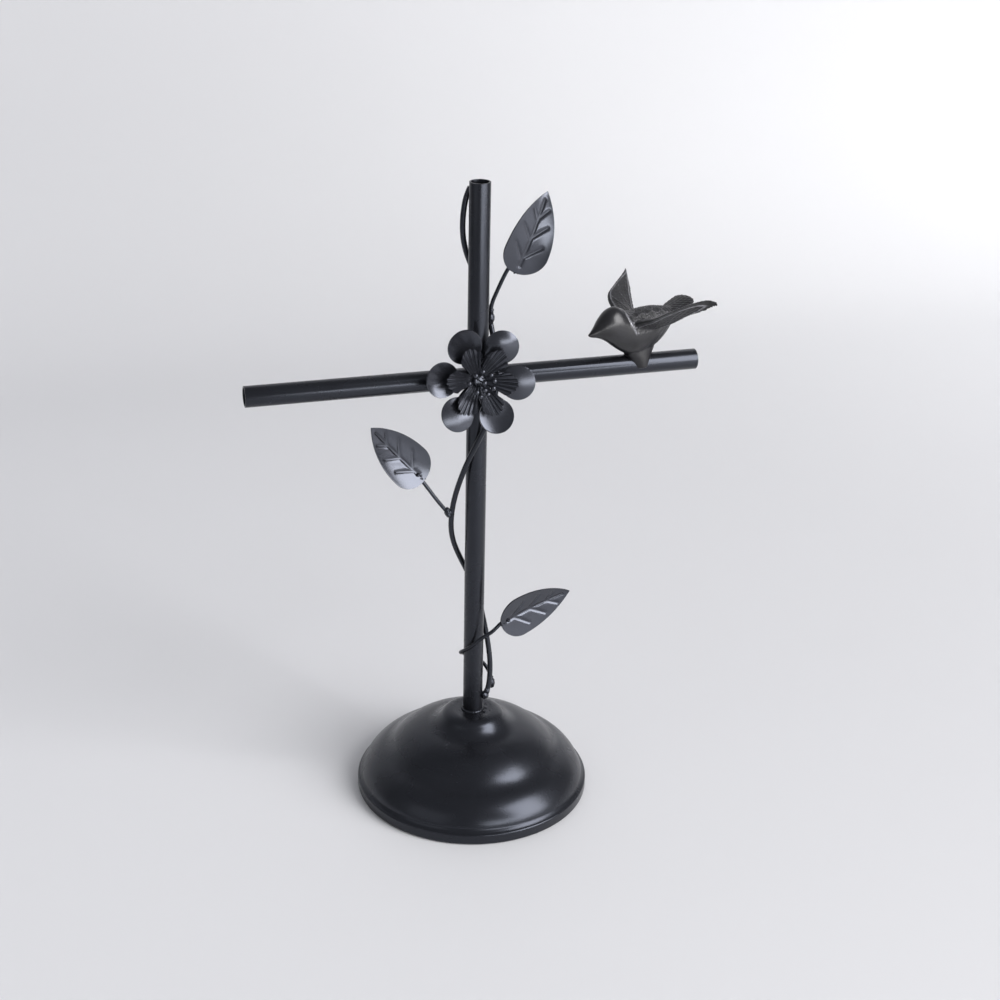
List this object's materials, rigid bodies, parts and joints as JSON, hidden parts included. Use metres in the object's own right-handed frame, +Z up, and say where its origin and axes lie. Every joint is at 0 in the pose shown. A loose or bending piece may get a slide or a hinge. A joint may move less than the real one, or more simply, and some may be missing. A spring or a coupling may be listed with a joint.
{
  "type": "mug tree",
  "caption": "Decorative black steel stand with a level crossbar for hanging mugs by their handles, dressed with a vine, stamped leaves, a flower and a perched bird.",
  "frame": {"origin": "on the floor plane under the foot pad, on the axis of the upright post", "axes": "+Z up the post, +X along the crossbar towards the bird, -Y the side that the flower faces"},
  "size_m": [0.281, 0.151, 0.404],
  "materials": {
    "frame_black": "satin black powder coat",
    "vine_black": "satin black powder coat",
    "leaf_black": "smooth glossy black coat",
    "flower_black": "smooth glossy black coat",
    "bird_dark": "dark bronze-grey patina, satin",
    "foot_rubber": "matt",
    "ballast_iron": "as cast"
  },
  "bodies": {
    "root": {"base_dome": "frame_black", "foot_pad": "foot_rubber", "base_ballast": "ballast_iron", "post": "frame_black", "post_weld": "frame_black", "left_arm": "frame_black", "left_arm_weld": "frame_black", "right_arm": "frame_black", "right_arm_weld": "frame_black", "vine": "vine_black", "upper_stem": "vine_black", "upper_knot": "vine_black", "upper_leaf": "leaf_black", "upper_leaf_tacks": "vine_black", "middle_stem": "vine_black", "middle_knot": "vine_black", "middle_leaf": "leaf_black", "middle_leaf_tacks": "vine_black", "lower_stem": "vine_black", "lower_knot": "vine_black", "lower_leaf": "leaf_black", "lower_leaf_tacks": "vine_black", "vine_top_weld": "vine_black", "vine_foot_weld": "vine_black", "outer_petals": "flower_black", "inner_petals": "flower_black", "flower_boss": "flower_black", "stamens": "flower_black", "flower_stud": "flower_black", "bird": "bird_dark"}
  },
  "joints": []
}
